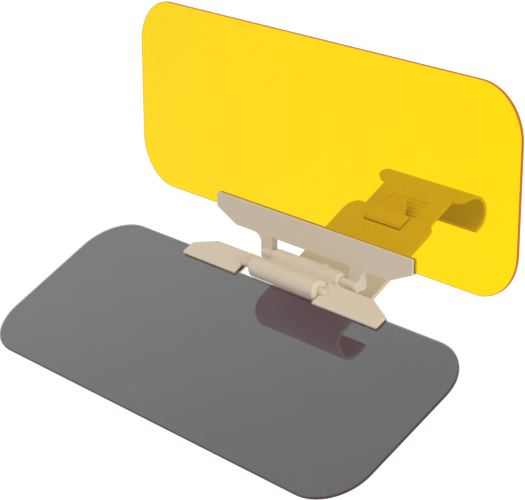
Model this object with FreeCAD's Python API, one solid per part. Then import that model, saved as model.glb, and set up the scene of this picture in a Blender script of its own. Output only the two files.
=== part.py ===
import FreeCAD, Part
import math
import os

# Clip-on anti-glare unit for the sun visor of a car. A telescopic clip grips the visor. Two barrels on
# a post above the clip carry two flat transparent panels, which swing about axes along X.
# Millimetres. X runs along the panels, +Y towards the clip's sliding hook, +Z up. The origin is the
# middle of the clip plate's underside, which seats on the visor.

Vec = FreeCAD.Vector

# ---- fits ----
RUNNING = 0.05          # radial clearance of a pin in a bush
SNUG = 0.02             # radial clearance of a part pressed or glued into its seat
SLIDING = 0.3           # clearance on each face of a sliding plate
APART = 0.4             # clearance between the ends of parts that turn past each other

# ---- panels ----
PANEL_WIDTH = 320.0
PANEL_HEIGHT = 119.5
PANEL_CORNER = 29.5
PANEL_T = 1.8
PANEL_EDGE_ROUND = 0.35
YELLOW_NOTCH = (-33.0, 33.0)    # the notch that clears a barrel, from and to along X
GREY_NOTCH = (-36.2, 32.6)
NOTCH_DEPTH = 5.8

# ---- panel holders: one outline for both ----
HOLDER_HALF = 85.0      # half width
HOLDER_GRIP = 8.1       # reach onto the panel
HOLDER_SIDE = 1.3       # the side edge ends this far below the panel's edge
YELLOW_TAIL = (9.2, 18.0)     # reach below the panel's edge, and how far the lower corner is cut in
GREY_TAIL = (9.1, 17.0)
HOLDER_T = 1.3
HOLDER_CORNER = 1.2
CLAMP_T = 1.3
STAKE_R = 1.5           # posts of the holder that hold panel and clamp
STAKE_AT = (50.0, 74.0)
STAKE_UP = 4.4          # above the panel's edge
STAKE_GAP = 0.15
STAKE_HEAD_R = 2.6
STAKE_HEAD_T = 0.8
EDGE_GAP = 0.3          # between the panel's edge and the holder's spacer
SMALL_ROUND = 0.35
EMBED = 0.5             # how far a feature runs into the solid it is moulded to

# ---- pins, bushes and barrels ----
PIN_R = 1.5
BUSH_WALL = 0.7
BUSH_LENGTH = 8.0
BUSH_FLANGE_T = 0.9
BUSH_FLANGE_IN = 0.6    # the bush's flange is this much smaller in radius than its barrel
BARREL_R = 6.4          # front barrel
REAR_BARREL_R = 5.2
BORE_RELIEF = 0.4       # a barrel's bore over its pin, between the bushes
FRONT_CORE_R = 4.2      # the post's own tube inside the front barrel's two sleeves
FRONT_ENDS = (-25.6, 31.6)    # ends of the front barrel along X, over its bush flanges
REAR_ENDS = (-28.4, 29.2)
SEAM = 0.1              # gap between the two front sleeves
WEB_T = 4.0
WEB_ENDS = (-24.0, 27.4)
NUB = (12.3, 16.0)      # small moulded nub on the rear barrel, from and to along X
NUB_AT = 2.6            # behind and above the axis
NUB_SIZE = 1.8

# ---- hinge axes, above and along the clip ----
REAR_AXIS = (-26.0, 22.25)
FRONT_AXIS = (-42.9, 32.1)

# ---- yellow panel on its axis ----
YELLOW_EDGE = 19.7      # panel's lower edge above the axis
YELLOW_BEHIND = 2.9     # panel's middle plane behind the axis
YELLOW_LEAN = 32.0      # degrees from upright, at rest
LEG_IN = 34.3
LEG_WIDTH = 9.0
LEG_DEPTH = 5.2
LEG_ROUND = 6.0
LEG_HEEL = 2.4          # the strut's reach below the axis
HEEL_ROUND = 1.5
LEFT_BOSS_R = 3.5       # bosses on the pin, beside the barrel
BOSS_R = 2.5
BOSS_ENDS = (-39.6, 42.0)
BOSS_WALL = 1.2         # closed outer end of a pin's bore
CHEEK_R = 3.1           # the right leg's cheek, over the boss's outer end
CHEEK_T = 2.4
CHEEK_RISE = 3.6        # top of the cheek's slope to the strut, above the axis

# ---- grey panel on its axis ----
GREY_EDGE = 1.1
GREY_UNDER = 2.5        # panel's middle plane under the axis
GREY_RISE = 4.3         # degrees above level, at rest
GREY_SHIFT = -3.3       # the panel sits this far off its wings' middle
KNUCKLE_R = 2.4
KNUCKLE_END = 37.7      # outer end of both knuckles along X
KNUCKLE_DOME = 1.6

# ---- clip plate with its fixed hook ----
BASE_HALF = 36.4
BASE_LENGTH = 90.0
BASE_T = 2.4
BASE_CORNER = 9.0
HOOK_TOP_R = 9.9        # outer radii of the hook's bends
HOOK_LOW_R = 11.6
HOOK_DEPTH = 21.8       # lowest face below the plate's underside
HOOK_LIP = 5.6
CREASE_AT = 17.9        # shallow moulded line, in front of the rear edge
CREASE_HALF = 25.0
CREASE_WIDTH = 0.6
CREASE_DEPTH = 0.25

# ---- slider with its hook ----
SLIDE_HALF = 28.3
SLIDE_T = 2.0
SLIDE_TOP = -1.5
SLIDE_FRONT = -33.0
SLIDE_FLARE_AT = 66.0
SLIDE_HOOK_HALF = 38.0
FLARE_R = 1.6            # inner corner where the slider widens
FLARE_CORNER = 7.0      # outer corner there
BEND_AT = 70.4
BEND_R = 12.4
BEND_TO = -106.0        # the bend's end, in degrees from level
RIB_HALF = 15.5
RIB_HEIGHT = 0.9
RIB_PITCH = 3.0
RIB_FROM = 5.0
RIB_TO = 64.5
RIB_SHAPE = ((0.2, 0), (0.35, 1), (0.6, 1), (0.95, 0))  # one tooth, over its pitch and height
TRAVEL_IN = 15.0
TRAVEL_OUT = 30.0

# ---- rails under the clip plate ----
RAIL_T = 2.0
LIP_REACH = 3.2
LIP_T = 1.3
RAIL_FROM = -36.0
RAIL_TO = 43.0

# ---- stop that keeps the slider in ----
STOP_Y = 8.0
STOP_R = 2.0
STOP_HEAD_R = 3.6
STOP_HEAD_T = 1.4
STOP_SHANK_R = 0.8
STOP_SHANK_TOP = 1.3

# ---- lock lever in the clip plate's rear edge ----
NOTCH_SIDE = 1.1        # gap at each side of the lever's bar
NOTCH_FRONT = 1.4
LEVER_HALF = 15.2
LEVER_FRONT = 34.2
LEVER_REAR = 44.0
LEVER_PIVOT_Y = 39.2
LEVER_PIN_R = 0.6
LEVER_PIN_REACH = 4.6   # pin's length in each side of the notch
LEVER_LIFT = 0.1        # lever's underside above the clip plate's
LEVER_HEEL = (3.0, 0.9) # length and height of the bevel under the bar's rear
LEVER_PROUD = 1.1       # height of the bar's top over the clip plate
LEVER_SLOPE = (1.8, 1.5)  # length and height of the slope along the bar's top front edge
PIN_SNAP = 0.9          # width of the pin's snap slot, over its diameter
PAWL_DEPTH = 2.0
PAWL_SLOPE = 0.6
PAWL_CLEAR = 0.3        # above the slider's ribs
LEVER_PRESS = 6.0       # degrees
TAB_HALF = 10.6
TAB_LENGTH = 12.3
TAB_T = 1.6
TAB_ANGLE = 33.0
TAB_RIM = 1.5
TAB_RIM_T = 0.6
TAB_INTO = 1.0          # the tab starts this far inside the bar's rear face

# ---- leaf spring of the lock lever ----
SPRING_HALF = 4.0
SPRING_T = 0.25
SPRING_FROM = 18.0
SPRING_BEND = 30.5
SPRING_INTO = 1.6       # into the lever's slot
SPRING_STEP = (0.4, 0.7)  # the leaf's step, past the notch's front edge
SPRING_POCKET = 0.5
SLOT_FLOOR = 0.5        # lever material under its slot
SLOT_GAP = 0.1          # between the pressed lever's slot and the leaf
PEG_R = 1.0
PEG_Y = 22.25

# ---- hinge post ----
POST_HALF = 15.0
FOOT_FROM = -27.0
FOOT_TO = -13.5
FOOT_T = 2.6
NECK_RISE = 3.0         # height of the neck's tapers
NECK_IN = 5.5           # how far the neck narrows behind, above the foot
NECK_OUT = 1.5          # how far it widens in front
NECK_TOP = (-4.6, 3.6)  # front and rear of the neck's top, from the rear axis
SCREW_X = 9.0
SCREW_Y = -20.5
SCREW_R = 1.2
SCREW_LENGTH = 10.0
SCREW_HEAD_R = 2.4
SCREW_HEAD_T = 1.2
RECESS = 0.6            # width and depth of a screw's cross recess

NODES = {}


# ---- simple solids ----
def box(x0, x1, y0, y1, z0, z1):
    return Part.makeBox(x1 - x0, y1 - y0, z1 - z0, Vec(x0, y0, z0))


def rod(x0, x1, radius, y=0.0, z=0.0):
    return Part.makeCylinder(radius, x1 - x0, Vec(x0, y, z), Vec(1, 0, 0))


def post(x, y, z0, z1, radius):
    return Part.makeCylinder(radius, z1 - z0, Vec(x, y, z0), Vec(0, 0, 1))


def outline(place, start, moves):
    """A closed wire. Each move is one point, for a line, or two, for an arc through the first."""
    edges = []
    last = start
    for move in moves:
        end = move[-1]
        if len(move) == 1:
            edges.append(Part.LineSegment(place(*last), place(*end)).toShape())
        else:
            edges.append(Part.Arc(place(*last), place(*move[0]), place(*end)).toShape())
        last = end
    if math.dist(last, start) > 1e-6:
        edges.append(Part.LineSegment(place(*last), place(*start)).toShape())
    return Part.Wire(edges)


def across(x0, x1, start, moves):
    """A side outline in Y and Z, from x0 to x1."""
    wire = outline(lambda y, z: Vec(x0, y, z), start, moves)
    return Part.Face(wire).extrude(Vec(x1 - x0, 0, 0))


def upright(y0, y1, start, moves):
    """A front outline in X and Z, from y0 to y1."""
    wire = outline(lambda x, z: Vec(x, y0, z), start, moves)
    return Part.Face(wire).extrude(Vec(0, y1 - y0, 0))


def level(z0, z1, start, moves):
    """A plan outline in X and Y, from z0 to z1."""
    wire = outline(lambda x, y: Vec(x, y, z0), start, moves)
    return Part.Face(wire).extrude(Vec(0, 0, z1 - z0))


def lines(points):
    return [(point,) for point in points]


def at_angle(centre, radius, degrees):
    turn = math.radians(degrees)
    return (centre[0] + radius * math.cos(turn), centre[1] + radius * math.sin(turn))


def edges_where(shape, test):
    """The edges whose middle point passes the test."""
    return [e for e in shape.Edges if test(e.valueAt((e.FirstParameter + e.LastParameter) / 2))]


def mirrored(shape):
    return shape.mirror(Vec(0, 0, 0), Vec(1, 0, 0))


def fused(*shapes):
    return shapes[0].multiFuse(list(shapes[1:])).removeSplitter()


def write(name, *shapes):
    """Keep a node's solids as one STEP file."""
    solids = [solid for shape in shapes for solid in shape.Solids]
    NODES[name] = solids
    Part.makeCompound(solids).exportStep("parts/" + name + ".step")


# ---- panels and their holders, upright on an axis through the origin ----
def panel(edge, middle, shift, notch):
    """One flat panel with round corners, notched below for the barrel and the hinge knuckles."""
    half = PANEL_WIDTH / 2
    top = edge + PANEL_HEIGHT
    inner = half - PANEL_CORNER
    high = top - PANEL_CORNER
    low = edge + PANEL_CORNER
    moves = [
        ((inner, edge),),
        (at_angle((inner, low), PANEL_CORNER, -45), (half, low)),
        ((half, high),),
        (at_angle((inner, high), PANEL_CORNER, 45), (inner, top)),
        ((-inner, top),),
        (at_angle((-inner, high), PANEL_CORNER, 135), (-half, high)),
        ((-half, low),),
        (at_angle((-inner, low), PANEL_CORNER, 225), (-inner, edge)),
    ]
    y0 = middle - PANEL_T / 2
    y1 = middle + PANEL_T / 2
    plate = upright(y0, y1, (-inner, edge), moves)
    rims = edges_where(plate, lambda p: abs(p.y - y0) < 1e-6 or abs(p.y - y1) < 1e-6)
    plate = plate.makeFillet(PANEL_EDGE_ROUND, rims).translated(Vec(shift, 0, 0))
    knuckle_half = KNUCKLE_END + APART
    cuts = [
        box(*notch, y0 - 1, y1 + 1, edge - 1, edge + NOTCH_DEPTH),
        box(-knuckle_half, knuckle_half, y0 - 1, y1 + 1, edge - 1, KNUCKLE_R - GREY_EDGE + edge + EDGE_GAP),
    ]
    cuts += stakes(edge, y0 - 1, y1 + 1, STAKE_R + STAKE_GAP)
    return plate.cut(Part.makeCompound(cuts))


def stakes(edge, y0, y1, radius, sides=(-1, 1)):
    """Round posts through the panel, at the holder's stake places."""
    return [
        Part.makeCylinder(radius, y1 - y0, Vec(side * x, y0, edge + STAKE_UP), Vec(0, 1, 0))
        for side in sides
        for x in STAKE_AT
    ]


def holder_outline(edge, tail, inner, y0, y1):
    """A plate with the holders' outline, from x = inner to the right end."""
    low = edge - tail[0]
    points = [
        (HOLDER_HALF, edge + HOLDER_GRIP),
        (HOLDER_HALF, edge - HOLDER_SIDE),
        (HOLDER_HALF - tail[1], low),
        (inner, low),
    ]
    plate = upright(y0, y1, (inner, edge + HOLDER_GRIP), lines(points))
    ends = edges_where(plate, lambda p: abs(p.x - HOLDER_HALF) < 1e-6 and abs(p.y - (y0 + y1) / 2) < 1e-6)
    ends += edges_where(plate, lambda p: math.dist((p.x, p.z), points[2]) < 1e-6)
    return plate.makeFillet(HOLDER_CORNER, ends)


def soft_face(plate, y):
    """Round the edges of a plate's face at y, but not where its two halves meet at x = 0."""
    rims = edges_where(plate, lambda p: abs(p.y - y) < 1e-6 and abs(p.x) > 1e-6)
    return plate.makeFillet(SMALL_ROUND, rims)


def half_holder(edge, tail, middle, side, inner):
    """The right half of a holder: its plate on one side of the panel, its spacer and its stakes."""
    near = middle + side * PANEL_T / 2
    far = near + side * HOLDER_T
    plate = holder_outline(edge, tail, inner, min(near, far), max(near, far))
    plate = soft_face(plate, far)
    back = middle - side * PANEL_T / 2
    below = box(inner, HOLDER_HALF, min(near, back), max(near, back), edge - tail[0], edge - EDGE_GAP)
    spacer = holder_outline(edge, tail, inner, min(near, back), max(near, back)).common(below)
    clamp_back = back - side * CLAMP_T
    posts = stakes(edge, min(near, clamp_back), max(near, clamp_back), STAKE_R, (1,))
    head_end = clamp_back - side * STAKE_HEAD_T
    heads = stakes(edge, min(clamp_back, head_end), max(clamp_back, head_end), STAKE_HEAD_R, (1,))
    domed = []
    for head in heads:
        rim = edges_where(head, lambda p: abs(p.y - head_end) < 1e-6)
        domed.append(head.makeFillet(STAKE_HEAD_T / 2, rim))
    return fused(plate, spacer, *posts, *domed)


def half_clamp(edge, tail, middle, side, inner):
    """The right half of the strip that backs the panel, with holes for the stakes."""
    back = middle - side * PANEL_T / 2
    far = back - side * CLAMP_T
    tail = (tail[0] - SMALL_ROUND, tail[1])
    plate = holder_outline(edge, tail, inner, min(far, back), max(far, back))
    plate = soft_face(plate, far)
    holes = stakes(edge, min(far, back) - 1, max(far, back) + 1, STAKE_R + SNUG, (1,))
    return plate.cut(Part.makeCompound(holes))


# ---- yellow panel ----
def yellow_leg():
    """A leg of the yellow holder, on the right: a strut with a round heel, and its fillet."""
    low = YELLOW_EDGE - YELLOW_TAIL[0]
    front = leg_front()
    out = LEG_IN + LEG_WIDTH
    top = YELLOW_EDGE - EDGE_GAP - SMALL_ROUND
    strut = box(LEG_IN, out, front, front + LEG_DEPTH, -LEG_HEEL, top)
    heel = edges_where(strut, lambda p: LEG_IN < p.x < out and p.z < 0)
    strut = strut.makeFillet(HEEL_ROUND, heel)
    corner = (out + LEG_ROUND, low - LEG_ROUND)
    web_moves = [
        (at_angle(corner, LEG_ROUND, 135), (out + LEG_ROUND, low)),
        ((out + LEG_ROUND, low + 2),),
        ((out - 1, low + 2),),
        ((out - 1, low - LEG_ROUND),),
    ]
    web = upright(front, front + HOLDER_T + PANEL_T, (out, low - LEG_ROUND), web_moves)
    return fused(strut, web)


def leg_front():
    """The front face of the legs and of the holder's plate."""
    return YELLOW_BEHIND - PANEL_T / 2 - HOLDER_T


def yellow_bosses():
    """The bosses on the hinge pin, and the cheek that joins the right one to its leg."""
    out = LEG_IN + LEG_WIDTH
    inside = leg_front() + 1
    slope_and_round = [
        ((leg_front(), CHEEK_RISE),),
        ((-CHEEK_R, 0),),
        (at_angle((0, 0), CHEEK_R, 225), (0, -CHEEK_R)),
        ((inside, -LEG_HEEL),),
    ]
    cheek = across(out - CHEEK_T, out, (inside, CHEEK_RISE), slope_and_round)
    rim = edges_where(cheek, lambda p: p.x > out - 1e-6 and p.y < inside - 0.1)
    cheek = cheek.makeFillet(SMALL_ROUND, rim)
    left = rod(BOSS_ENDS[0], REAR_ENDS[0] - APART, LEFT_BOSS_R)
    left = left.makeFillet(HEEL_ROUND, edges_where(left, lambda p: p.x < BOSS_ENDS[0] + 1e-6))
    right = rod(REAR_ENDS[1] + APART, BOSS_ENDS[1], BOSS_R)
    return cheek, left, right


def yellow_assembly():
    """Panel, holder, clamp and hinge pin, upright on the rear axis."""
    middle = YELLOW_BEHIND
    half = half_holder(YELLOW_EDGE, YELLOW_TAIL, middle, -1, 0.0)
    leg = yellow_leg()
    bore = (BOSS_ENDS[0] + BOSS_WALL, BOSS_ENDS[1])
    holder = fused(half, mirrored(half), leg, mirrored(leg), *yellow_bosses())
    holder = holder.cut(rod(*bore, PIN_R + SNUG))
    clamp = half_clamp(YELLOW_EDGE, YELLOW_TAIL, middle, -1, 0.0)
    clamp = fused(clamp, mirrored(clamp))
    for side in (-1, 1):
        x = side * (LEG_IN + LEG_WIDTH / 2)
        wide = LEG_WIDTH / 2 + EDGE_GAP
        room = box(x - wide, x + wide, YELLOW_BEHIND, YELLOW_BEHIND + LEG_DEPTH, 0, YELLOW_EDGE)
        clamp = clamp.cut(room)
    return {
        "yellow_panel": panel(YELLOW_EDGE, middle, 0.0, YELLOW_NOTCH),
        "yellow_holder": holder,
        "yellow_clamp": clamp,
        "yellow_hinge_pin": rod(bore[0] + SNUG, bore[1] - SNUG, PIN_R),
    }


# ---- grey panel ----
def grey_wing(inner, start):
    """A right wing: holder plate from x = inner, with an ear and a knuckle from x = start."""
    middle = -GREY_UNDER
    wing = half_holder(GREY_EDGE, GREY_TAIL, middle, 1, inner)
    top = middle + PANEL_T / 2 + HOLDER_T
    ear = box(start, inner + 1, top - HOLDER_T, top, GREY_EDGE - GREY_TAIL[0], 0)
    knuckle = rod(start, KNUCKLE_END, KNUCKLE_R)
    knuckle = knuckle.makeFillet(KNUCKLE_DOME, edges_where(knuckle, lambda p: p.x > KNUCKLE_END - 1e-6))
    bore = rod(start - 1, KNUCKLE_END - KNUCKLE_DOME, PIN_R + SNUG)
    return fused(wing, ear, knuckle).cut(bore)


def grey_clamp(inner, start):
    clamp = half_clamp(GREY_EDGE, GREY_TAIL, -GREY_UNDER, 1, inner)
    return clamp.cut(rod(start, KNUCKLE_END + APART, KNUCKLE_R + SNUG))


def grey_assembly():
    """Panel, two wings, two clamps and the hinge pin, upright on the front axis."""
    left = (-GREY_NOTCH[0], -FRONT_ENDS[0] + APART)
    right = (GREY_NOTCH[1], FRONT_ENDS[1] + APART)
    reach = KNUCKLE_END - KNUCKLE_DOME - SNUG
    return {
        "grey_panel": panel(GREY_EDGE, -GREY_UNDER, GREY_SHIFT, GREY_NOTCH),
        "grey_wing_left": mirrored(grey_wing(*left)),
        "grey_wing_right": grey_wing(*right),
        "grey_clamp_left": mirrored(grey_clamp(*left)),
        "grey_clamp_right": grey_clamp(*right),
        "grey_hinge_pin": rod(-reach, reach, PIN_R),
    }


# ---- barrels, bushes and post ----
def bushes(axis, ends, barrel_r):
    """The two flanged friction bushes in the ends of a barrel."""
    return [bush(end, barrel_r).translated(Vec(0, *axis)) for end in ends]


def bush(end, barrel_r):
    """A bush whose flange ends at x = end."""
    outer = PIN_R + RUNNING + BUSH_WALL
    reach = abs(end)
    seat = reach - BUSH_FLANGE_T
    body = fused(rod(seat - BUSH_LENGTH, seat, outer), rod(seat, reach, barrel_r - BUSH_FLANGE_IN))
    rim = edges_where(body, lambda p: abs(p.x - reach) < 1e-6)
    body = body.makeFillet(SMALL_ROUND, rim)
    body = body.cut(rod(0, reach + 1, PIN_R + RUNNING))
    return body if end > 0 else mirrored(body)


def barrel_ends(ends):
    """Where the barrel itself ends, inside the flanges of its bushes."""
    return ends[0] + BUSH_FLANGE_T, ends[1] - BUSH_FLANGE_T


def bore_cuts(axis, ends):
    """The bore of a barrel, opened at each end for its bush."""
    seat = PIN_R + RUNNING + BUSH_WALL + SNUG
    left, right = barrel_ends(ends)
    deep = BUSH_LENGTH + APART
    cuts = [
        rod(left - 1, right + 1, PIN_R + BORE_RELIEF, *axis),
        rod(right - deep, right + 1, seat, *axis),
        rod(left - 1, left + deep, seat, *axis),
    ]
    return Part.makeCompound(cuts)


def web_block(ends, thickness, length):
    """A flat block in the plane of both axes, from the front axis to length mm behind it."""
    dy = REAR_AXIS[0] - FRONT_AXIS[0]
    dz = REAR_AXIS[1] - FRONT_AXIS[1]
    slope = math.degrees(math.atan2(dz, dy))
    block = box(*ends, 0, length, -thickness / 2, thickness / 2)
    block.rotate(Vec(0, 0, 0), Vec(1, 0, 0), slope)
    return block.translated(Vec(0, *FRONT_AXIS))


def screw_places():
    return [(-SCREW_X, SCREW_Y), (SCREW_X, SCREW_Y)]


def hinge_post():
    """Foot, neck, rear barrel, web and the front barrel's inner tube, in one moulding."""
    left, right = barrel_ends(REAR_ENDS)
    rear = rod(left, right, REAR_BARREL_R, *REAR_AXIS)
    rims = edges_where(rear, lambda p: min(abs(p.x - left), abs(p.x - right)) < 1e-6)
    rear = rear.makeFillet(SMALL_ROUND, rims)
    core = rod(*barrel_ends(FRONT_ENDS), FRONT_CORE_R, *FRONT_AXIS)
    span = math.dist(REAR_AXIS, FRONT_AXIS)
    web = web_block(WEB_ENDS, WEB_T, span)
    low = BASE_T
    shoulder = low + FOOT_T + NECK_RISE
    neck_points = [
        (FOOT_TO, low),
        (FOOT_TO, low + FOOT_T),
        (FOOT_TO - NECK_IN, shoulder),
        (REAR_AXIS[0] + NECK_TOP[1], REAR_AXIS[1] - NECK_RISE),
        (REAR_AXIS[0], REAR_AXIS[1]),
        (REAR_AXIS[0] + NECK_TOP[0], REAR_AXIS[1] - NECK_RISE / 2),
        (FOOT_FROM - NECK_OUT, shoulder),
        (FOOT_FROM, low + FOOT_T),
    ]
    neck = across(-POST_HALF, POST_HALF, (FOOT_FROM, low), lines(neck_points))
    nub_y = REAR_AXIS[0] + NUB_AT
    nub_z = REAR_AXIS[1] + NUB_AT
    nub = box(NUB[0], NUB[1], nub_y, nub_y + NUB_SIZE, nub_z, nub_z + NUB_SIZE)
    body = fused(rear, core, web, neck, nub)
    pilots = [post(x, y, low - 1, SCREW_LENGTH + EDGE_GAP, SCREW_R + SNUG) for x, y in screw_places()]
    cuts = Part.makeCompound([bore_cuts(REAR_AXIS, REAR_ENDS), bore_cuts(FRONT_AXIS, FRONT_ENDS)] + pilots)
    return body.cut(cuts)


def front_sleeve(start, end):
    """One of the front barrel's two sleeves, with a slot for the web."""
    sleeve = rod(start, end, BARREL_R, *FRONT_AXIS)
    rims = edges_where(sleeve, lambda p: min(abs(p.x - start), abs(p.x - end)) < 1e-6)
    sleeve = sleeve.makeFillet(SMALL_ROUND, rims)
    sleeve = sleeve.cut(rod(start - 1, end + 1, FRONT_CORE_R + RUNNING, *FRONT_AXIS))
    slot = (WEB_ENDS[0] - APART, WEB_ENDS[1] + APART)
    return sleeve.cut(web_block(slot, WEB_T + 2 * RUNNING, 2 * BARREL_R))


def post_screws():
    """Two countersunk screws, up through the clip plate into the post."""
    screws = []
    for x, y in screw_places():
        head = Part.makeCone(SCREW_HEAD_R, SCREW_R, SCREW_HEAD_T, Vec(x, y, 0), Vec(0, 0, 1))
        shank = post(x, y, SCREW_HEAD_T, SCREW_LENGTH, SCREW_R)
        screws.append(fused(head, shank).cut(cross_recess(x, y, 0, RECESS)))
    return screws


def cross_recess(x, y, z0, z1):
    """A cross recess, as two crossed slots."""
    reach = 2.5 * RECESS
    half = RECESS / 2
    along = box(x - reach, x + reach, y - half, y + half, z0, z1)
    return fused(along, box(x - half, x + half, y - reach, y + reach, z0, z1))


# ---- clip ----
def clip_profile():
    """The clip plate and its fixed hook as one bent sheet."""
    rear = BASE_LENGTH / 2
    front = -rear
    top = (front, BASE_T - HOOK_TOP_R)
    nose = front - HOOK_TOP_R
    low = (nose + HOOK_LOW_R, HOOK_LOW_R - HOOK_DEPTH)
    tip = low[0] + HOOK_LIP
    top_in = HOOK_TOP_R - BASE_T
    low_in = HOOK_LOW_R - BASE_T
    moves = [
        ((front, BASE_T),),
        (at_angle(top, HOOK_TOP_R, 135), (nose, top[1])),
        ((nose, low[1]),),
        (at_angle(low, HOOK_LOW_R, 225), (low[0], -HOOK_DEPTH)),
        ((tip, -HOOK_DEPTH),),
        (at_angle((tip, BASE_T / 2 - HOOK_DEPTH), BASE_T / 2, 0), (tip, BASE_T - HOOK_DEPTH)),
        ((low[0], BASE_T - HOOK_DEPTH),),
        (at_angle(low, low_in, 225), (nose + BASE_T, low[1])),
        ((nose + BASE_T, top[1]),),
        (at_angle(top, top_in, 135), (front, 0)),
        ((rear, 0),),
    ]
    return across(-BASE_HALF, BASE_HALF, (rear, BASE_T), moves)


def clip_plan():
    """The clip's plan: square in front, with two round rear corners."""
    rear = BASE_LENGTH / 2
    side = rear - BASE_CORNER
    inner = BASE_HALF - BASE_CORNER
    front = -BASE_LENGTH
    moves = [
        ((BASE_HALF, front),),
        ((BASE_HALF, side),),
        (at_angle((inner, side), BASE_CORNER, 45), (inner, rear)),
        ((-inner, rear),),
        (at_angle((-inner, side), BASE_CORNER, 135), (-BASE_HALF, side)),
    ]
    return level(-BASE_LENGTH, BASE_LENGTH, (-BASE_HALF, front), moves)


def rail():
    """The right rail: a wall with a lip under the slider and a pad over it."""
    wall = SLIDE_HALF + APART
    slide_low = SLIDE_TOP - SLIDE_T
    lip_top = slide_low - SLIDING
    pad_low = SLIDE_TOP + SLIDING
    points = [
        (wall + RAIL_T, EMBED),
        (wall + RAIL_T, lip_top - LIP_T),
        (wall - LIP_REACH, lip_top - LIP_T),
        (wall - LIP_REACH, lip_top),
        (wall, lip_top),
        (wall, pad_low),
        (wall - LIP_REACH, pad_low),
        (wall - LIP_REACH, EMBED),
    ]
    return upright(RAIL_FROM, RAIL_TO, points[-1], lines(points[:-1]))


def lever_pivot_z():
    return BASE_T / 2


def clip_base():
    """Clip plate, hook and rails, with the lever's notch, the stop's boss and the screw holes."""
    rear = BASE_LENGTH / 2
    sheet = clip_profile().common(clip_plan())
    crowns = edges_where(sheet, lambda p: abs(p.z - BASE_T) < 1e-6 and p.y > -rear + 1)
    sheet = sheet.makeFillet(SMALL_ROUND, crowns)
    boss_low = SLIDE_TOP - SLIDE_T - SLIDING
    boss = post(0, STOP_Y, boss_low, EMBED, STOP_R)
    body = fused(sheet, rail(), mirrored(rail()), boss)
    gap = LEVER_HALF + NOTCH_SIDE
    notch = box(-gap, gap, LEVER_FRONT - NOTCH_FRONT, rear + 1, -1, BASE_T + 1)
    crease_y = rear - CREASE_AT
    crease_end = crease_y + CREASE_WIDTH
    crease = box(-CREASE_HALF, CREASE_HALF, crease_y, crease_end, BASE_T - CREASE_DEPTH, BASE_T + 1)
    pin = gap + LEVER_PIN_REACH + SNUG
    seat_r = LEVER_PIN_R + RUNNING
    pivot = (LEVER_PIVOT_Y, lever_pivot_z())
    snap = LEVER_PIN_R * PIN_SNAP
    cuts = [
        notch,
        crease,
        rod(-pin, pin, seat_r, *pivot),
        box(-pin, pin, pivot[0] - snap, pivot[0] + snap, -1, pivot[1]),
        post(0, STOP_Y, boss_low - 1, STOP_SHANK_TOP + EDGE_GAP, STOP_SHANK_R + SNUG),
        spring_pocket(),
    ]
    for x, y in screw_places():
        cuts.append(post(x, y, -1, BASE_T + 1, SCREW_R + RUNNING))
        wide = SCREW_HEAD_R + RUNNING
        deep = SCREW_HEAD_T + RUNNING
        cuts.append(Part.makeCone(wide, SCREW_R + RUNNING, deep, Vec(x, y, 0), Vec(0, 0, 1)))
    body = body.cut(Part.makeCompound(cuts))
    return fused(body, spring_peg())


def spring_pocket():
    """The shallow pocket under the clip plate that holds the leaf spring."""
    half = SPRING_HALF + EDGE_GAP
    return box(-half, half, SPRING_FROM - EDGE_GAP, LEVER_FRONT - NOTCH_FRONT + 1, -1, SPRING_POCKET)


def spring_peg():
    """The peg that the leaf spring is staked on."""
    return post(0, PEG_Y, RUNNING, SPRING_POCKET + EMBED, PEG_R)


def slider_plan():
    """The slider's plan, a strip that widens with round corners, and below it the hook's full width."""
    rear = BEND_AT + BEND_R + 1
    inner = (SLIDE_HALF + FLARE_R, SLIDE_FLARE_AT)
    flare = SLIDE_FLARE_AT + FLARE_R
    outer = (SLIDE_HOOK_HALF - FLARE_CORNER, flare + FLARE_CORNER)
    right = [
        ((SLIDE_HALF, SLIDE_FLARE_AT),),
        (at_angle(inner, FLARE_R, 135), (inner[0], flare)),
        ((outer[0], flare),),
        (at_angle(outer, FLARE_CORNER, -45), (SLIDE_HOOK_HALF, outer[1])),
        ((SLIDE_HOOK_HALF, rear),),
        ((-SLIDE_HOOK_HALF, rear),),
        ((-SLIDE_HOOK_HALF, outer[1]),),
        (at_angle((-outer[0], outer[1]), FLARE_CORNER, 225), (-outer[0], flare)),
        ((-inner[0], flare),),
        (at_angle((-inner[0], inner[1]), FLARE_R, 45), (-SLIDE_HALF, SLIDE_FLARE_AT)),
        ((-SLIDE_HALF, SLIDE_FRONT),),
    ]
    middle = SLIDE_TOP - BEND_R
    upper = level(middle, BEND_R, (SLIDE_HALF, SLIDE_FRONT), right)
    lower = box(-SLIDE_HOOK_HALF, SLIDE_HOOK_HALF, SLIDE_FRONT, rear, middle - 2 * BEND_R, middle)
    return fused(upper, lower)


def rib_rack():
    """The saw-tooth ribs on the slider, which the lever's pawl drops into."""
    count = int((RIB_TO - RIB_FROM) / RIB_PITCH)
    low = SLIDE_TOP - EMBED
    points = []
    for i in range(count):
        for share, height in RIB_SHAPE:
            points.append((RIB_FROM + (i + share) * RIB_PITCH, SLIDE_TOP + height * RIB_HEIGHT))
    points.append((RIB_FROM + count * RIB_PITCH, low))
    return across(-RIB_HALF, RIB_HALF, (RIB_FROM, low), lines(points))


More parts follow.
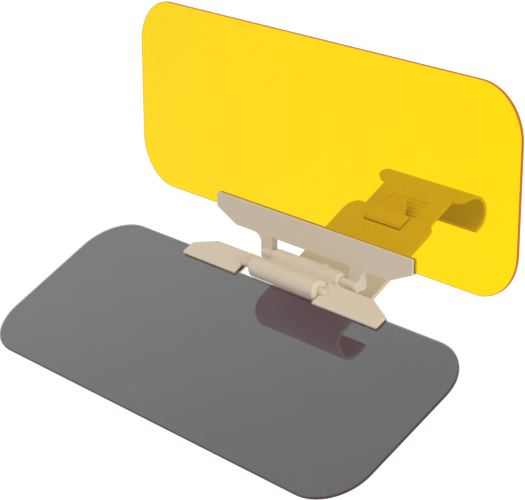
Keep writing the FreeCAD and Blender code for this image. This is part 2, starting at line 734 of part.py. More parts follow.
def clip_slider():
    """The sliding plate with its round hook, its ribs and the slot for the stop."""
    centre = (BEND_AT, SLIDE_TOP - BEND_R)
    inner = BEND_R - SLIDE_T
    halfway = 45 + BEND_TO / 2
    moves = [
        ((BEND_AT, SLIDE_TOP),),
        (at_angle(centre, BEND_R, halfway), at_angle(centre, BEND_R, BEND_TO)),
        (at_angle(centre, inner, BEND_TO),),
        (at_angle(centre, inner, halfway), (BEND_AT, SLIDE_TOP - SLIDE_T)),
        ((SLIDE_FRONT, SLIDE_TOP - SLIDE_T),),
    ]
    sheet = across(-SLIDE_HOOK_HALF, SLIDE_HOOK_HALF, (SLIDE_FRONT, SLIDE_TOP), moves)
    sheet = fused(sheet.common(slider_plan()), rib_rack())
    half = STOP_R + SLIDING
    slot = box(-half, half, STOP_Y - TRAVEL_OUT - half, STOP_Y + TRAVEL_IN + half, -2 * BEND_R, BASE_T)
    slot_room = box(-half, half, SLIDE_FRONT, SLIDE_FLARE_AT, SLIDE_TOP - 2 * SLIDE_T, BASE_T)
    return sheet.cut(slot.common(slot_room))


def stop_screw():
    """The screw whose head keeps the slider up and whose boss ends its travel."""
    top = SLIDE_TOP - SLIDE_T - SLIDING
    head = post(0, STOP_Y, top - STOP_HEAD_T, top, STOP_HEAD_R)
    head = head.makeFillet(SMALL_ROUND, edges_where(head, lambda p: abs(p.z - top + STOP_HEAD_T) < 1e-6))
    shank = post(0, STOP_Y, top, STOP_SHANK_TOP, STOP_SHANK_R)
    screw = fused(head, shank)
    return screw.cut(cross_recess(0, STOP_Y, top - STOP_HEAD_T, top - STOP_HEAD_T + RECESS))


# ---- lock lever, its pin and its spring ----
def tab(grow, z0, z1):
    """A flat D, with its straight end on the X axis and its round end towards +Y."""
    half = TAB_HALF + grow
    straight = TAB_LENGTH - TAB_HALF
    moves = [
        ((half, straight),),
        ((0.0, straight + half), (-half, straight)),
        ((-half, 0.0),),
    ]
    return level(z0, z1, (half, 0.0), moves)


def lever_slot():
    """Lowest face, highest face and depth of the slot for the leaf spring."""
    low = LEVER_LIFT + SLOT_FLOOR
    lift = (LEVER_PIVOT_Y - LEVER_FRONT) * math.sin(math.radians(LEVER_PRESS))
    spring_low = low + lift + SLOT_GAP
    return low, spring_low + SPRING_T + EDGE_GAP, spring_low


def lock_lever():
    """The cross bar with its pawl in front and its thumb tab behind."""
    ribs_top = SLIDE_TOP + RIB_HEIGHT
    pawl_low = ribs_top + PAWL_CLEAR
    bar_top = BASE_T + LEVER_PROUD
    bar_points = [
        (LEVER_FRONT, pawl_low),
        (LEVER_FRONT + PAWL_DEPTH, pawl_low),
        (LEVER_FRONT + PAWL_DEPTH + PAWL_SLOPE, LEVER_LIFT),
        (LEVER_REAR - LEVER_HEEL[0], LEVER_LIFT),
        (LEVER_REAR, LEVER_LIFT + LEVER_HEEL[1]),
        (LEVER_REAR, bar_top),
        (LEVER_FRONT + LEVER_SLOPE[0], bar_top),
    ]
    bar = across(-LEVER_HALF, LEVER_HALF, (LEVER_FRONT, bar_top - LEVER_SLOPE[1]), lines(bar_points))
    crown = edges_where(bar, lambda p: abs(p.z - bar_top) < 1e-6 and p.y < LEVER_REAR - 0.1)
    bar = bar.makeFillet(SMALL_ROUND, crown)
    plate = tab(0.0, -TAB_T, 0.0)
    rim = tab(0.0, -TAB_T, TAB_RIM_T).cut(tab(-TAB_RIM, -2 * TAB_T, 2 * TAB_T))
    rim = rim.common(box(-TAB_HALF, TAB_HALF, TAB_RIM, TAB_LENGTH, -TAB_T, TAB_RIM_T))
    thumb = fused(plate, rim)
    thumb.rotate(Vec(0, 0, 0), Vec(1, 0, 0), TAB_ANGLE)
    thumb = thumb.translated(Vec(0, LEVER_REAR - TAB_INTO, bar_top - LEVER_LIFT))
    low, high, _ = lever_slot()
    slot_half = SPRING_HALF + EDGE_GAP
    slot = box(-slot_half, slot_half, LEVER_FRONT - 1, LEVER_FRONT + SPRING_INTO + 2 * EDGE_GAP, low, high)
    bore = rod(-LEVER_HALF - 1, LEVER_HALF + 1, LEVER_PIN_R + RUNNING, LEVER_PIVOT_Y, lever_pivot_z())
    return fused(bar, thumb).cut(Part.makeCompound([slot, bore]))


def lever_pin():
    reach = LEVER_HALF + NOTCH_SIDE + LEVER_PIN_REACH
    return rod(-reach, reach, LEVER_PIN_R, LEVER_PIVOT_Y, lever_pivot_z())


def lock_spring():
    """A leaf that lies in the pocket and steps up into the lever's slot."""
    _, _, high = lever_slot()
    low = SPRING_POCKET - SPRING_T - RUNNING
    step = LEVER_FRONT - NOTCH_FRONT
    rise, landing = [step + reach for reach in SPRING_STEP]
    tip = LEVER_FRONT + SPRING_INTO
    points = [
        (SPRING_BEND, low),
        (rise, low),
        (landing, high),
        (tip, high),
        (tip, high + SPRING_T),
        (landing - SPRING_T, high + SPRING_T),
        (rise - SPRING_T, low + SPRING_T),
        (SPRING_FROM, low + SPRING_T),
    ]
    leaf = across(-SPRING_HALF, SPRING_HALF, (SPRING_FROM, low), lines(points))
    return leaf.cut(post(0, PEG_Y, -1, 2, PEG_R + RUNNING))


def placed(shape, axis, degrees):
    """Turn an upright shape about X and move it to its hinge axis."""
    moved = shape.copy()
    moved.rotate(Vec(0, 0, 0), Vec(1, 0, 0), degrees)
    return moved.translated(Vec(0, *axis))


def main():
    os.makedirs("parts", exist_ok=True)
    left, right = barrel_ends(FRONT_ENDS)
    seam = (left + right) / 2
    write("clip_base", clip_base())
    write("hinge_post", hinge_post())
    write("post_screws", *post_screws())
    write("front_sleeve_left", front_sleeve(left, seam - SEAM / 2))
    write("front_sleeve_right", front_sleeve(seam + SEAM / 2, right))
    write("front_bushes", *bushes(FRONT_AXIS, FRONT_ENDS, BARREL_R))
    write("rear_bushes", *bushes(REAR_AXIS, REAR_ENDS, REAR_BARREL_R))
    write("stop_screw", stop_screw())
    write("lever_pin", lever_pin())
    write("lock_spring", lock_spring())
    write("lock_lever", lock_lever())
    write("clip_slider", clip_slider())
    for name, shape in yellow_assembly().items():
        write(name, placed(shape, REAR_AXIS, -YELLOW_LEAN))
    for name, shape in grey_assembly().items():
        write(name, placed(shape, FRONT_AXIS, 90.0 - GREY_RISE))
    for name, solids in NODES.items():
        size = sum(solid.Volume for solid in solids)
        print(name, len(solids), "solids", round(size, 1), "mm3", all(s.isValid() for s in solids))


main()
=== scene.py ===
import math

import bmesh
import bpy
from bpy.props import FloatProperty, FloatVectorProperty, PointerProperty
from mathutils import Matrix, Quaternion, Vector


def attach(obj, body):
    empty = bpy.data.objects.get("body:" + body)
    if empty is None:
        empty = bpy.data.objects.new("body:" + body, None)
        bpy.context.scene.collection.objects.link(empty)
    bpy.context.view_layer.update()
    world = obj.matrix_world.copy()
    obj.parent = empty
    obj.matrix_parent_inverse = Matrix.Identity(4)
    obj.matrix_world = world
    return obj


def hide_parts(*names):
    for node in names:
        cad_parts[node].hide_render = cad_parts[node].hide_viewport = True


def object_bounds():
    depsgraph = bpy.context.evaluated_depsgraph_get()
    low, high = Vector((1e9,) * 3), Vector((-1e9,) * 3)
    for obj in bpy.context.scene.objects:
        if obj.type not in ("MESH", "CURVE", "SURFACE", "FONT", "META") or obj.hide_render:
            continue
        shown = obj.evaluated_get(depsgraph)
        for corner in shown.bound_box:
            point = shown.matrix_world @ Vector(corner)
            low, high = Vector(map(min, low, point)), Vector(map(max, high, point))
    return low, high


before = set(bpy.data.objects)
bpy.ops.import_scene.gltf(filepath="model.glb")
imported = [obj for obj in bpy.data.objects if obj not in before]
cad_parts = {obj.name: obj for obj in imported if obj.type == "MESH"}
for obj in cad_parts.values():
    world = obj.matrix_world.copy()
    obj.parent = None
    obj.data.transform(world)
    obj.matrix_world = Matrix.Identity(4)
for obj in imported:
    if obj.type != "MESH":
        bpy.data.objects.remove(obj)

bl_info = {
    "name": "Clip-on Sun Visor",
    "version": (1, 0, 0),
    "blender": (4, 5, 0),
    "location": "View3D > Sidebar > Sun Visor",
    "description": "Two transparent panels on a clip for the sun visor of a car",
    "category": "Add Mesh",
}

MM = 0.001
CAD_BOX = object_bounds()

# ---- clear sheets ----
ACRYLIC_INDEX = 1.49
YELLOW_INDEX = 1.33     # under acrylic's own, which keeps white gloss off the tint
YELLOW_GLOSS = (0.35, 0.26, 0.02)
GREY_GLOSS = (1.0, 1.0, 1.0)
# Strength of the painted glow on the yellow panel's cut edge, which stands in for light the sheet
# gathers.
YELLOW_EDGE_PAINTED_GLOW = 0.06
YELLOW_INNER = (0.8, 0.7, 0.3)      # what a cut edge lets through from inside its sheet
GREY_INNER = (0.9, 0.88, 0.88)
GREY_HAZE_PART = 0.042
EDGE_GLOSS = 0.15
FADED = 0.97            # a handled spot's share of the tint
DULLED = 1.6            # and of the polish
FLAT = 0.999            # cosine within which a facet belongs to the flat faces

# ---- opaque pieces ----
DEEP = 0.9              # darkest mottle's share of the colour
WEAR_AND_HIGHLIGHT_PALING = (0.95, 0.55, 0.22)           # partly worn and partly a painted highlight: how far an edge's channels go towards white
WEAR_WIDTH = 0.5 * MM
PLASTIC_INDEX = 1.52
STEEL = (0.58, 0.58, 0.60)
STEEL_DEEP = (0.44, 0.44, 0.45)
STEEL_WORN = (0.75, 0.75, 0.76)
SATIN = (0.36, 0.5)     # least and most roughness
BUSH_SATIN = (0.28, 0.4)
STEEL_SATIN = (0.22, 0.4)

# ---- stage ----
CAMERA_PLACE = Vector((0.77796, -0.42702, 0.72093))
CAMERA_AIM = Vector((-0.03663, -0.02785, 0.02698))
SENSOR_WIDTH = 36.0
VIEW_END = 50.0
FLOOR_DROP = 0.30
FLOOR_SIZE = 12.0
FLOOR_COLOUR = (0.80, 0.80, 0.80)
FLOOR_DEEP = (0.79, 0.79, 0.79)
FLOOR_GLOW = 0.50
WHITE = (1.0, 1.0, 1.0, 1.0)
CEILING_FROM = 0.50     # heights between which the ceiling fades out of the gloss
CEILING_TO = 0.70
CEILING_DARK = 1.0
LAMP_AIM = (0, 0, 0.03)
KEY_PLACE = (-0.15, -0.03, 1.45)
KEY_SIZE = (1.4, 1.2)
FILL_PLACE = (1.5, -0.25, 0.55)
FILL_SIZE = (0.9, 0.9)


# ---- what a user can change ----
class VisorSheetSettings(bpy.types.PropertyGroup):
    """The two transparent panels."""

    yellow: FloatVectorProperty(
        name="Yellow", description="Tint of the yellow panel's sheet",
        subtype="COLOR", size=3, min=0.0, max=1.0, default=(0.93, 0.645, 0.001),
    )
    # The yellow edge's colour also gives its painted glow.
    yellow_edge: FloatVectorProperty(
        name="Yellow Edge", description="Colour that glows from the yellow panel's cut edge",
        subtype="COLOR", size=3, min=0.0, max=1.0, default=(0.50, 0.13, 0.003),
    )
    grey: FloatVectorProperty(
        name="Grey", description="Tint of the smoke grey panel's sheet",
        subtype="COLOR", size=3, min=0.0, max=1.0, default=(0.106, 0.146, 0.125),
    )
    yellow_shade: FloatVectorProperty(
        name="Yellow Shade",
        description="How each face of the yellow panel dims the light that falls through it",
        subtype="COLOR", size=3, min=0.0, max=1.0, default=(1.0, 0.95, 0.67),
    )
    grey_shade: FloatVectorProperty(
        name="Grey Shade",
        description="How each face of the grey panel dims the light that falls through it",
        subtype="COLOR", size=3, min=0.0, max=1.0, default=(0.80, 0.80, 0.80),
    )
    grey_haze: FloatVectorProperty(
        name="Grey Haze", description="Colour that the smoke grey sheet scatters",
        subtype="COLOR", size=3, min=0.0, max=1.0, default=(0.89, 0.07, 0.48),
    )
    grey_edge: FloatVectorProperty(
        name="Grey Edge", description="Colour of the grey panel's cut edge",
        subtype="COLOR", size=3, min=0.0, max=1.0, default=(0.075, 0.045, 0.052),
    )
    polish: FloatProperty(
        name="Polish", description="Roughness of the polished faces",
        min=0.0, max=0.3, default=0.02,
    )


class VisorPlasticSettings(bpy.types.PropertyGroup):
    """The opaque moulded pieces."""

    beige: FloatVectorProperty(
        name="Beige", description="Colour of the moulded plastic",
        subtype="COLOR", size=3, min=0.0, max=1.0, default=(0.69, 0.585, 0.45),
    )
    cream: FloatVectorProperty(
        name="Cream", description="Colour of the friction bushes",
        subtype="COLOR", size=3, min=0.0, max=1.0, default=(0.80, 0.70, 0.53),
    )
    grain: FloatProperty(
        name="Grain", description="Size of the moulded grain",
        subtype="DISTANCE", unit="LENGTH", min=0.0001, max=0.005, default=0.0004,
    )


class VisorStageSettings(bpy.types.PropertyGroup):
    """Camera, lamps and floor."""

    lens: FloatProperty(
        name="Lens", description="Focal length of the camera in millimetres",
        min=20.0, max=300.0, default=129.67,
    )
    roll: FloatProperty(
        name="Roll",
        description="How far the camera is turned clockwise about its own line of sight",
        subtype="ANGLE", default=math.radians(30.51),
    )
    key: FloatProperty(
        name="Key", description="Power of the overhead softbox", subtype="POWER", default=10.0,
    )
    fill: FloatProperty(
        name="Fill", description="Power of the front softbox", subtype="POWER", default=11.0,
    )
    sky: FloatProperty(
        name="Sky", description="Strength of the even light from all around", default=0.45,
    )


# ---- shader helpers ----
def node(tree, kind, **values):
    """A shader node with its properties and unlinked inputs set."""
    made = tree.nodes.new(kind)
    for key, value in values.items():
        if hasattr(made, key):
            setattr(made, key, value)
        else:
            made.inputs[key.replace("_", " ")].default_value = value
    return made


def link(tree, source, target):
    """Join an output socket to an input socket."""
    tree.links.new(source, target)


def new_group(name, inputs, outputs):
    """An empty shader group with named sockets, and its two end nodes."""
    group = bpy.data.node_groups.new(name, "ShaderNodeTree")
    for label, kind, value in inputs:
        socket = group.interface.new_socket(label, in_out="INPUT", socket_type=kind)
        socket.default_value = value
    for label, kind in outputs:
        group.interface.new_socket(label, in_out="OUTPUT", socket_type=kind)
    return group, group.nodes.new("NodeGroupInput"), group.nodes.new("NodeGroupOutput")


def moulded_grain():
    """Fine grain of a moulding tool, and the slow mottle of the plastic under it."""
    name = "Moulded grain"
    if name in bpy.data.node_groups:
        return bpy.data.node_groups[name]
    inputs = [("Scale", "NodeSocketFloat", 2500.0), ("Mottle Scale", "NodeSocketFloat", 45.0)]
    outputs = [("Height", "NodeSocketFloat"), ("Mottle", "NodeSocketFloat")]
    group, start, end = new_group(name, inputs, outputs)
    place = node(group, "ShaderNodeTexCoord")
    grain = node(group, "ShaderNodeTexNoise", Detail=3.0, Roughness=0.6)
    mottle = node(group, "ShaderNodeTexNoise", Detail=4.0, Roughness=0.55)
    for noise, scale in ((grain, "Scale"), (mottle, "Mottle Scale")):
        link(group, place.outputs["Object"], noise.inputs["Vector"])
        link(group, start.outputs[scale], noise.inputs["Scale"])
    link(group, grain.outputs["Fac"], end.inputs["Height"])
    link(group, mottle.outputs["Fac"], end.inputs["Mottle"])
    return group


def edge_wear_and_highlight():
    """A mask of the outer edges, broken up as hands and boxes rub them; the plastic pales its edges
    by it, partly as worn edges and partly as a painted highlight.
    """
    name = "Edge wear"
    if name in bpy.data.node_groups:
        return bpy.data.node_groups[name]
    inputs = [("Breakup", "NodeSocketFloat", 400.0)]
    group, start, end = new_group(name, inputs, [("Mask", "NodeSocketFloat")])
    rounded = node(group, "ShaderNodeBevel", samples=4, Radius=WEAR_WIDTH)
    plain = node(group, "ShaderNodeNewGeometry")
    same = node(group, "ShaderNodeVectorMath", operation="DOT_PRODUCT")
    link(group, rounded.outputs["Normal"], same.inputs[0])
    link(group, plain.outputs["Normal"], same.inputs[1])
    bend = node(group, "ShaderNodeMapRange", From_Min=0.995, From_Max=0.90)
    link(group, same.outputs["Value"], bend.inputs["Value"])
    place = node(group, "ShaderNodeTexCoord")
    noise = node(group, "ShaderNodeTexNoise", Detail=2.0)
    link(group, place.outputs["Object"], noise.inputs["Vector"])
    link(group, start.outputs["Breakup"], noise.inputs["Scale"])
    mask = node(group, "ShaderNodeMath", operation="MULTIPLY")
    link(group, bend.outputs["Result"], mask.inputs[0])
    link(group, noise.outputs["Fac"], mask.inputs[1])
    link(group, mask.outputs["Value"], end.inputs["Mask"])
    return group


def handling():
    """A mask of faint smudges, where fingers and cloths have been."""
    name = "Handling"
    if name in bpy.data.node_groups:
        return bpy.data.node_groups[name]
    inputs = [("Scale", "NodeSocketFloat", 14.0), ("Streaks", "NodeSocketFloat", 3.0)]
    group, start, end = new_group(name, inputs, [("Mask", "NodeSocketFloat")])
    place = node(group, "ShaderNodeTexCoord")
    noise = node(group, "ShaderNodeTexNoise", Detail=5.0, Roughness=0.7)
    link(group, place.outputs["Object"], noise.inputs["Vector"])
    link(group, start.outputs["Scale"], noise.inputs["Scale"])
    link(group, start.outputs["Streaks"], noise.inputs["Distortion"])
    ramp = node(group, "ShaderNodeMapRange", From_Min=0.48, From_Max=0.72)
    link(group, noise.outputs["Fac"], ramp.inputs["Value"])
    link(group, ramp.outputs["Result"], end.inputs["Mask"])
    return group


def placed_group(tree, group, **values):
    """A shared group in one material, with its inputs set."""
    made = tree.nodes.new("ShaderNodeGroup")
    made.node_tree = group
    for key, value in values.items():
        made.inputs[key.replace("_", " ")].default_value = value
    return made


def new_material(name):
    """A material whose Principled shader is joined to its output."""
    material = bpy.data.materials.new(name)
    material.use_nodes = True
    tree = material.node_tree
    return material, tree, tree.nodes["Principled BSDF"], tree.nodes["Material Output"]


def scaled(tree, mask, amount):
    """A mask times a number."""
    part = node(tree, "ShaderNodeMath", operation="MULTIPLY")
    part.inputs[1].default_value = amount
    link(tree, mask, part.inputs[0])
    return part.outputs["Value"]


def mixed(tree, first, second, mask, amount):
    """A colour that goes from first to second by mask times amount."""
    part = scaled(tree, mask, amount)
    mix = node(tree, "ShaderNodeMix", data_type="RGBA")
    link(tree, part, mix.inputs["Factor"])
    for value, socket in ((first, mix.inputs["A"]), (second, mix.inputs["B"])):
        if isinstance(value, bpy.types.NodeSocket):
            link(tree, value, socket)
        else:
            socket.default_value = (*value, 1.0)
    return mix.outputs["Result"]


def ranged(tree, mask, low, high):
    """A value from low to high by a mask."""
    reach = node(tree, "ShaderNodeMapRange", To_Min=low, To_Max=high)
    link(tree, mask, reach.inputs["Value"])
    return reach.outputs["Result"]


def either_shader(tree, part, first, second):
    """The first shader, or the second by a part that is a number or a socket."""
    mix = node(tree, "ShaderNodeMixShader")
    if isinstance(part, bpy.types.NodeSocket):
        link(tree, part, mix.inputs["Fac"])
    else:
        mix.inputs["Fac"].default_value = part
    link(tree, first, mix.inputs[1])
    link(tree, second, mix.inputs[2])
    return mix.outputs["Shader"]


def greater(tree, first, second):
    """The greater of two values."""
    either = node(tree, "ShaderNodeMath", operation="MAXIMUM")
    link(tree, first, either.inputs[0])
    link(tree, second, either.inputs[1])
    return either.outputs["Value"]


def grain_bump(tree, shader, height, strength, depth):
    """Raise the grain on the shader's normal."""
    bump = node(tree, "ShaderNodeBump", Strength=strength, Distance=depth)
    link(tree, height, bump.inputs["Height"])
    link(tree, bump.outputs["Normal"], shader.inputs["Normal"])


def plastic(name, colour, grain, rough=SATIN):
    """Satin moulded plastic with grain, mottle, handling marks and softly paled edges, partly worn
    and partly a painted highlight.
    """
    material, tree, shader, _ = new_material(name)
    texture = placed_group(tree, moulded_grain(), Scale=1.0 / grain)
    edge_mask = placed_group(tree, edge_wear_and_highlight())
    marks = placed_group(tree, handling(), Scale=60.0)
    deep = [channel * DEEP for channel in colour]
    # Edges pale towards white, partly as worn edges and partly as a painted highlight.
    pale = [channel + (1.0 - channel) * part for channel, part in zip(colour, WEAR_AND_HIGHLIGHT_PALING)]
    base = mixed(tree, colour, deep, texture.outputs["Mottle"], 0.5)
    base = mixed(tree, base, pale, edge_mask.outputs["Mask"], 1.0)
    link(tree, base, shader.inputs["Base Color"])
    link(tree, ranged(tree, marks.outputs["Mask"], *rough), shader.inputs["Roughness"])
    grain_bump(tree, shader, texture.outputs["Height"], 0.35, 0.02 * MM)
    shader.inputs["IOR"].default_value = PLASTIC_INDEX
    return material


def steel(name):
    """Bright zinc plate with fine turning marks."""
    material, tree, shader, _ = new_material(name)
    texture = placed_group(tree, moulded_grain(), Scale=3000.0, Mottle_Scale=300.0)
    edge_mask = placed_group(tree, edge_wear_and_highlight(), Breakup=900.0)
    base = mixed(tree, STEEL, STEEL_DEEP, texture.outputs["Mottle"], 0.7)
    base = mixed(tree, base, STEEL_WORN, edge_mask.outputs["Mask"], 0.7)
    link(tree, base, shader.inputs["Base Color"])
    link(tree, ranged(tree, texture.outputs["Mottle"], *STEEL_SATIN), shader.inputs["Roughness"])
    shader.inputs["Metallic"].default_value = 1.0
    grain_bump(tree, shader, texture.outputs["Height"], 0.3, 0.01 * MM)
    return material


def clear_sheet(name, tint, gloss, index, polish, shade, haze, haze_part):
    """Polished tinted acrylic. Shade dims the light that falls through a face on other pieces."""
    material, tree, shader, output = new_material(name)
    marks = placed_group(tree, handling(), Scale=9.0)
    faded = [channel * FADED for channel in tint]
    base = mixed(tree, tint, faded, marks.outputs["Mask"], 1.0)
    link(tree, base, shader.inputs["Base Color"])
    rough = ranged(tree, marks.outputs["Mask"], polish, polish * DULLED)
    link(tree, rough, shader.inputs["Roughness"])
    shader.inputs["Transmission Weight"].default_value = 1.0
    shader.inputs["Specular Tint"].default_value = (*gloss, 1.0)
    shader.inputs["IOR"].default_value = index
    scatter = node(tree, "ShaderNodeBsdfDiffuse", Color=(*haze, 1.0))
    milky = either_shader(tree, haze_part, shader.outputs["BSDF"], scatter.outputs["BSDF"])
    through = node(tree, "ShaderNodeBsdfTransparent", Color=(*shade, 1.0))
    path = node(tree, "ShaderNodeLightPath")
    lit = greater(tree, path.outputs["Is Shadow Ray"], path.outputs["Is Diffuse Ray"])
    surface = either_shader(tree, lit, milky, through.outputs["BSDF"])
    link(tree, surface, output.inputs["Surface"])
    return material


def sheet_edge(name, colour, glow, inner):
    """The cut edge of a tinted sheet: deep coloured from outside, with a painted glow of strength
    glow in its own colour, and see-through from inside.
    """
    material, tree, shader, output = new_material(name)
    texture = placed_group(tree, moulded_grain(), Scale=900.0, Mottle_Scale=20.0)
    bright = [min(1.0, channel * 1.25) for channel in colour]
    base = mixed(tree, colour, bright, texture.outputs["Mottle"], 0.8)
    link(tree, base, shader.inputs["Base Color"])
    # The edge's colour is also given out as a painted glow of strength glow.
    link(tree, base, shader.inputs["Emission Color"])
    shader.inputs["Emission Strength"].default_value = glow
    link(tree, ranged(tree, texture.outputs["Mottle"], 0.1, 0.25), shader.inputs["Roughness"])
    shader.inputs["IOR"].default_value = ACRYLIC_INDEX
    shader.inputs["Specular IOR Level"].default_value = EDGE_GLOSS
    clear = node(tree, "ShaderNodeBsdfTransparent", Color=(*inner, 1.0))
    side = node(tree, "ShaderNodeNewGeometry").outputs["Backfacing"]
    surface = either_shader(tree, side, shader.outputs["BSDF"], clear.outputs["BSDF"])
    link(tree, surface, output.inputs["Surface"])
    return material


# ---- geometry helpers ----
def paint(names, material):
    """Give carried-over CAD nodes one material."""
    for name in names:
        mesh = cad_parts[name].data
        mesh.materials.clear()
        mesh.materials.append(material)


def new_piece(name, mesh, body, *replaced):
    """A mesh object that rides on a body."""
    piece = bpy.data.objects.new(name, mesh)
    bpy.context.scene.collection.objects.link(piece)
    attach(piece, body)
    if replaced:
        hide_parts(*replaced)
    return piece


def sheet_mesh(name, source):
    """The sheet's own mesh: flat faces in slot 0, and its whole cut edge in slot 1."""
    work = bmesh.new()
    work.from_mesh(source.data)
    bmesh.ops.remove_doubles(work, verts=work.verts, dist=0.001 * MM)
    face_normal = max(work.faces, key=lambda face: face.calc_area()).normal.copy()
    for face in work.faces:
        flat = abs(face.normal.dot(face_normal)) > FLAT
        face.material_index = 0 if flat else 1
        face.smooth = not flat
    for edge in work.edges:
        edge.smooth = len({face.material_index for face in edge.link_faces}) == 1
    mesh = bpy.data.meshes.new(name)
    work.to_mesh(mesh)
    work.free()
    if "custom_normal" in mesh.attributes:
        mesh.attributes.remove(mesh.attributes["custom_normal"])
    return mesh


# ---- operators ----
class VISOR_OT_panels(bpy.types.Operator):
    """Make the yellow and the grey transparent panel"""

    bl_idname = "visor.panels"
    bl_label = "Panels"

    def execute(self, context):
        look = context.scene.visor_sheets
        yellow = clear_sheet("Yellow acrylic", look.yellow, YELLOW_GLOSS, YELLOW_INDEX,
                             look.polish, look.yellow_shade, look.yellow, 0.0)
        grey = clear_sheet("Grey acrylic", look.grey, GREY_GLOSS, ACRYLIC_INDEX,
                           look.polish, look.grey_shade, look.grey_haze, GREY_HAZE_PART)
        yellow_edge = sheet_edge("Yellow acrylic edge", look.yellow_edge, YELLOW_EDGE_PAINTED_GLOW, YELLOW_INNER)
        grey_edge = sheet_edge("Grey acrylic edge", look.grey_edge, 0.0, GREY_INNER)
        for colour_name, face, edge in (("yellow", yellow, yellow_edge), ("grey", grey, grey_edge)):
            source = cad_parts[colour_name + "_panel"]
            mesh = sheet_mesh(colour_name + "_sheet", source)
            mesh.materials.append(face)
            mesh.materials.append(edge)
            piece = new_piece(colour_name + "_sheet", mesh, colour_name, colour_name + "_panel")
        return {"FINISHED"}


class VISOR_OT_holders(bpy.types.Operator):
    """Finish the strips that hold the panels"""

    bl_idname = "visor.holders"
    bl_label = "Panel Holders"

    def execute(self, context):
        look = context.scene.visor_plastic
        satin = plastic("Holder plastic", look.beige, look.grain)
        names = ["yellow_holder", "yellow_clamp", "grey_wing_left", "grey_wing_right"]
        paint(names + ["grey_clamp_left", "grey_clamp_right"], satin)
        return {"FINISHED"}


class VISOR_OT_hinges(bpy.types.Operator):
    """Finish the post, the barrels and their bushes"""

    bl_idname = "visor.hinges"
    bl_label = "Hinges"

    def execute(self, context):
        look = context.scene.visor_plastic
        paint(["hinge_post", "front_sleeve_left", "front_sleeve_right"],
              plastic("Hinge plastic", look.beige, look.grain))
        paint(["front_bushes", "rear_bushes"],
              plastic("Bush acetal", look.cream, look.grain, BUSH_SATIN))
        return {"FINISHED"}


class VISOR_OT_clip(bpy.types.Operator):
    """Finish the clip plate, its slider and its lock lever"""

    bl_idname = "visor.clip"
    bl_label = "Clip"

    def execute(self, context):
        look = context.scene.visor_plastic
        paint(["clip_base", "clip_slider", "lock_lever"],
              plastic("Clip plastic", look.beige, look.grain))
        return {"FINISHED"}


class VISOR_OT_steel(bpy.types.Operator):
    """Finish the screws, the pins and the leaf spring"""

    bl_idname = "visor.steel"
    bl_label = "Steel Parts"

    def execute(self, context):
        names = ["post_screws", "stop_screw", "lever_pin", "lock_spring"]
        paint(names + ["yellow_hinge_pin", "grey_hinge_pin"], steel("Zinc plated steel"))
        return {"FINISHED"}


# ---- stage helpers ----
def pale_floor():
    """A white floor that keeps soft shadows and shows as white behind the object."""
    material, tree, shader, output = new_material("Pale floor")
    noise = placed_group(tree, moulded_grain(), Scale=30.0, Mottle_Scale=2.0)
    base = mixed(tree, FLOOR_COLOUR, FLOOR_DEEP, noise.outputs["Mottle"], 1.0)
    link(tree, base, shader.inputs["Base Color"])
    shader.inputs["Roughness"].default_value = 0.9
    shader.inputs["Specular IOR Level"].default_value = 0.1
    seen = seen_rays(tree, node(tree, "ShaderNodeLightPath"))
    glow = node(tree, "ShaderNodeEmission", Strength=FLOOR_GLOW)
    nothing = node(tree, "ShaderNodeEmission", Strength=0.0)
    pick = either_shader(tree, seen, nothing.outputs["Emission"], glow.outputs["Emission"])
    both = node(tree, "ShaderNodeAddShader")
    link(tree, shader.outputs["BSDF"], both.inputs[0])
    link(tree, pick, both.inputs[1])
    link(tree, both.outputs["Shader"], output.inputs["Surface"])
    return material


def seen_rays(tree, path):
    """1 for rays from the camera, from gloss and through the panels."""
    first = greater(tree, path.outputs["Is Camera Ray"], path.outputs["Is Glossy Ray"])
    return greater(tree, first, path.outputs["Is Transmission Ray"])


def studio_world(sky):
    """Even pale light, which shows as white behind the object. In gloss its ceiling is darker."""
    world = bpy.data.worlds.new("Studio")
    world.use_nodes = True
    tree = world.node_tree
    dim = tree.nodes["Background"]
    dim.inputs["Color"].default_value = WHITE
    dim.inputs["Strength"].default_value = sky
    white = node(tree, "ShaderNodeBackground", Color=WHITE)
    place = node(tree, "ShaderNodeTexCoord")
    split = node(tree, "ShaderNodeSeparateXYZ")
    link(tree, place.outputs["Generated"], split.inputs["Vector"])
    ceiling = node(tree, "ShaderNodeMapRange", interpolation_type="SMOOTHSTEP",
                   From_Min=CEILING_FROM, From_Max=CEILING_TO, To_Max=CEILING_DARK)
    link(tree, split.outputs["Z"], ceiling.inputs["Value"])
    path = node(tree, "ShaderNodeLightPath")
    darker = node(tree, "ShaderNodeMath", operation="MULTIPLY")
    link(tree, ceiling.outputs["Result"], darker.inputs[0])
    link(tree, path.outputs["Is Glossy Ray"], darker.inputs[1])
    strength = node(tree, "ShaderNodeMath", operation="SUBTRACT")
    strength.inputs[0].default_value = 1.0
    link(tree, darker.outputs["Value"], strength.inputs[1])
    link(tree, strength.outputs["Value"], white.inputs["Strength"])
    seen = seen_rays(tree, path)
    pick = either_shader(tree, seen, dim.outputs["Background"], white.outputs["Background"])
    link(tree, pick, tree.nodes["World Output"].inputs["Surface"])
    bpy.context.scene.world = world


def softbox(name, place, size, power):
    """A rectangular lamp that faces the object."""
    lamp = bpy.data.lights.new(name, "AREA")
    lamp.shape = "RECTANGLE"
    lamp.size, lamp.size_y = size
    lamp.energy = power
    holder = bpy.data.objects.new(name, lamp)
    holder.location = place
    holder.rotation_euler = (Vector(LAMP_AIM) - Vector(place)).to_track_quat("-Z", "Y").to_euler()
    bpy.context.scene.collection.objects.link(holder)


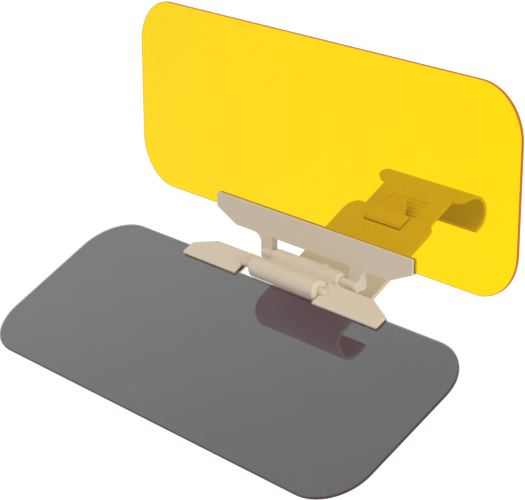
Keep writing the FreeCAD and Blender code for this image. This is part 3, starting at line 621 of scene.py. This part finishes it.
def add_camera(lens, roll):
    """The camera, turned about its own line of sight by roll."""
    camera = bpy.data.objects.new("camera", bpy.data.cameras.new("camera"))
    camera.data.lens = lens
    camera.data.sensor_width = SENSOR_WIDTH
    camera.data.clip_end = VIEW_END
    camera.location = CAMERA_PLACE
    level = (CAMERA_AIM - CAMERA_PLACE).to_track_quat("-Z", "Y")
    camera.rotation_euler = (level @ Quaternion((0, 0, 1), -roll)).to_euler()
    bpy.context.scene.collection.objects.link(camera)
    bpy.context.scene.camera = camera


def add_floor(height):
    work = bmesh.new()
    bmesh.ops.create_grid(work, x_segments=1, y_segments=1, size=FLOOR_SIZE / 2)
    bmesh.ops.translate(work, verts=work.verts, vec=(0, 0, height))
    mesh = bpy.data.meshes.new("floor")
    work.to_mesh(mesh)
    work.free()
    mesh.materials.append(pale_floor())
    floor = bpy.data.objects.new("floor", mesh)
    bpy.context.scene.collection.objects.link(floor)


class VISOR_OT_stage(bpy.types.Operator):
    """Add the floor, the lamps, the world and the camera"""

    bl_idname = "visor.stage"
    bl_label = "Stage"

    def execute(self, context):
        look = context.scene.visor_stage
        low = Vector(CAD_BOX[0])
        add_floor(low.z - FLOOR_DROP)
        studio_world(look.sky)
        softbox("key_softbox", KEY_PLACE, KEY_SIZE, look.key)
        softbox("fill_softbox", FILL_PLACE, FILL_SIZE, look.fill)
        add_camera(look.lens, look.roll)
        context.scene.view_settings.view_transform = "Standard"
        return {"FINISHED"}


class VISOR_PT_sidebar(bpy.types.Panel):
    """The unit's sizes, colours and steps in the 3D view's sidebar"""

    bl_label = "Sun Visor"
    bl_idname = "VISOR_PT_sidebar"
    bl_space_type = "VIEW_3D"
    bl_region_type = "UI"
    bl_category = "Sun Visor"

    def draw(self, context):
        layout = self.layout
        for name, settings in SETTINGS:
            box = layout.box()
            for key in settings.__annotations__:
                box.prop(getattr(context.scene, name), key)
        for operator in OPERATORS:
            layout.operator(operator.bl_idname)


OPERATORS = (
    VISOR_OT_stage,
    VISOR_OT_clip,
    VISOR_OT_hinges,
    VISOR_OT_holders,
    VISOR_OT_panels,
    VISOR_OT_steel,
)
SETTINGS = (
    ("visor_sheets", VisorSheetSettings),
    ("visor_plastic", VisorPlasticSettings),
    ("visor_stage", VisorStageSettings),
)


def register():
    for name, settings in SETTINGS:
        bpy.utils.register_class(settings)
        setattr(bpy.types.Scene, name, PointerProperty(type=settings))
    for shown in (*OPERATORS, VISOR_PT_sidebar):
        bpy.utils.register_class(shown)


def unregister():
    for shown in reversed((*OPERATORS, VISOR_PT_sidebar)):
        bpy.utils.unregister_class(shown)
    for name, settings in reversed(SETTINGS):
        delattr(bpy.types.Scene, name)
        bpy.utils.unregister_class(settings)


def main():
    register()
    bpy.ops.visor.stage()
    bpy.ops.visor.clip()
    bpy.ops.visor.hinges()
    bpy.ops.visor.holders()
    bpy.ops.visor.panels()
    bpy.ops.visor.steel()


if __name__ == "__main__":
    main()
